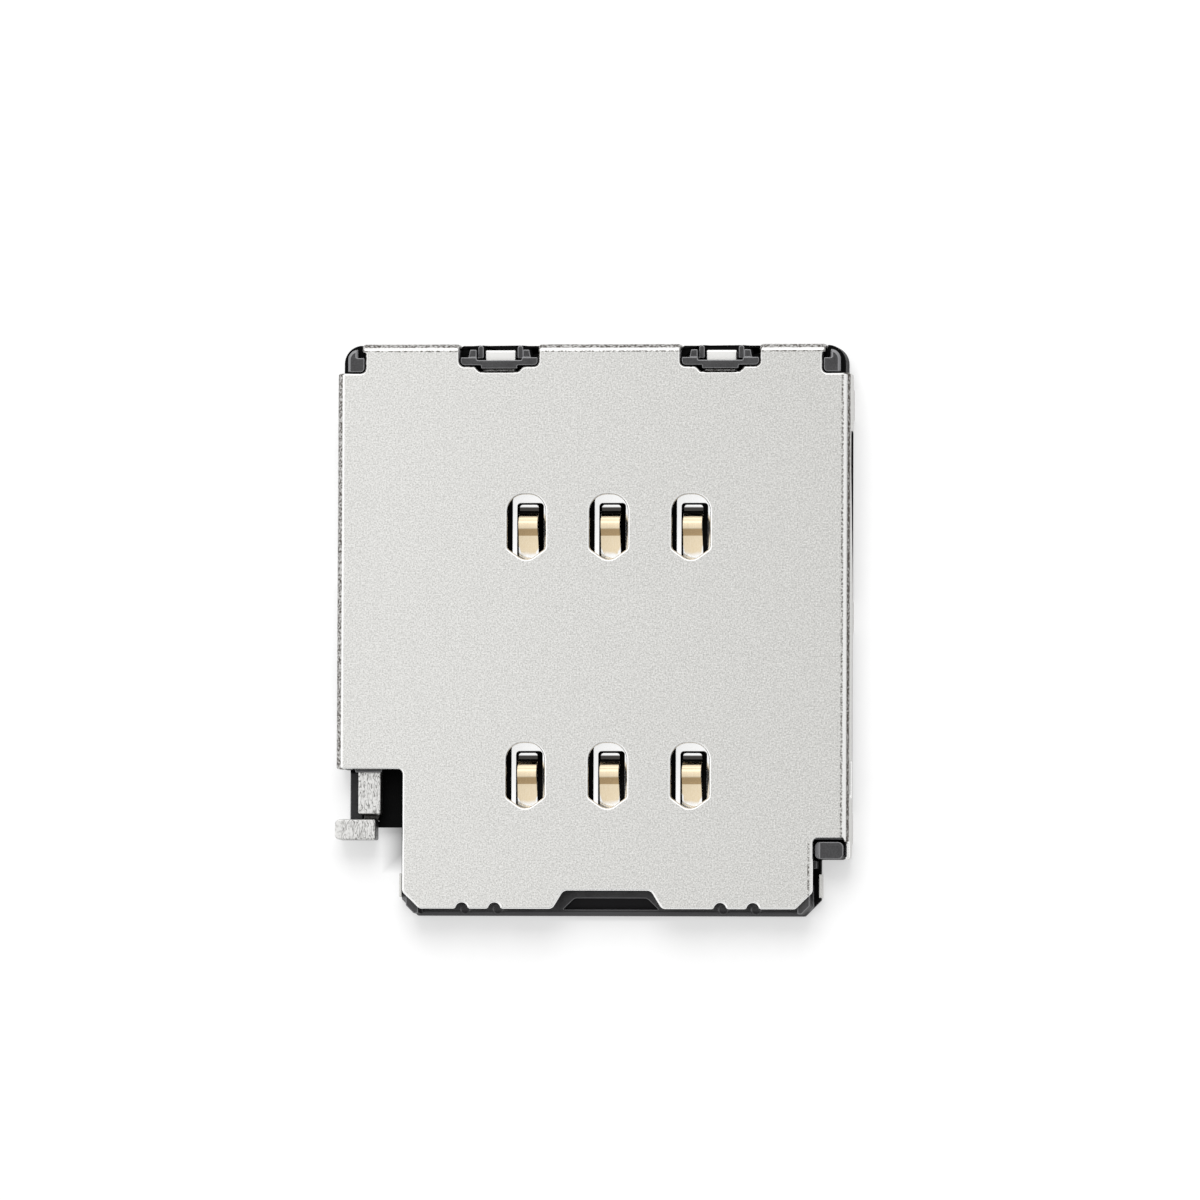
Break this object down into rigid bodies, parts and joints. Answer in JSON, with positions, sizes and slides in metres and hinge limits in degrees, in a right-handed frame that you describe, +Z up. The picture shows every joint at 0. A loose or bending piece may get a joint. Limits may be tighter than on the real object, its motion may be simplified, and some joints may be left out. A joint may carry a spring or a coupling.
{
  "type": "sim card reader",
  "caption": "Flat card reader for a phone: folded steel cover over a moulded housing, spring contacts under oblong windows, a tray mouth, and a push rod with a lever that ejects the tray.",
  "frame": {"origin": "middle of the card's contact field, on the board face", "axes": "+Y is the way the tray goes in, +Z is up from the board through the cover, +X is to the right seen from above with the mouth towards the viewer"},
  "size_m": [0.0158, 0.0175, 0.0014],
  "materials": {
    "cover_steel": "satin, fine grain",
    "housing_plastic": "moulded, semi matt",
    "contact_gold": "gold plated, satin",
    "eject_steel": "rough, as stamped",
    "spring_steel": "satin"
  },
  "bodies": {
    "reader": {"housing": "housing_plastic", "cover_shell": "cover_steel", "contact_c1": "contact_gold", "contact_c2": "contact_gold", "contact_c3": "contact_gold", "contact_c5": "contact_gold", "contact_c6": "contact_gold", "contact_c7": "contact_gold", "tray_latch_spring": "spring_steel", "detect_spring": "spring_steel", "detect_terminal": "spring_steel", "hold_down_left": "cover_steel", "hold_down_right": "cover_steel"},
    "rod": {"eject_rod": "eject_steel"},
    "lever": {"eject_lever": "eject_steel"}
  },
  "joints": [
    {"name": "eject_push", "type": "slide", "parent": "reader", "child": "rod", "axis": [0, 1, 0], "range_m": [0, 0.0013]},
    {"name": "lever_swing", "type": "hinge", "parent": "reader", "child": "lever", "pos_m": [-0.005, 0.00775, 0.00068], "axis": [0, 0, 1], "range_deg": [-30.31, 0]}
  ],
  "couplings": [
    {"joint": "lever_swing", "follows": "eject_push", "rad_per_m": -406.9}
  ]
}
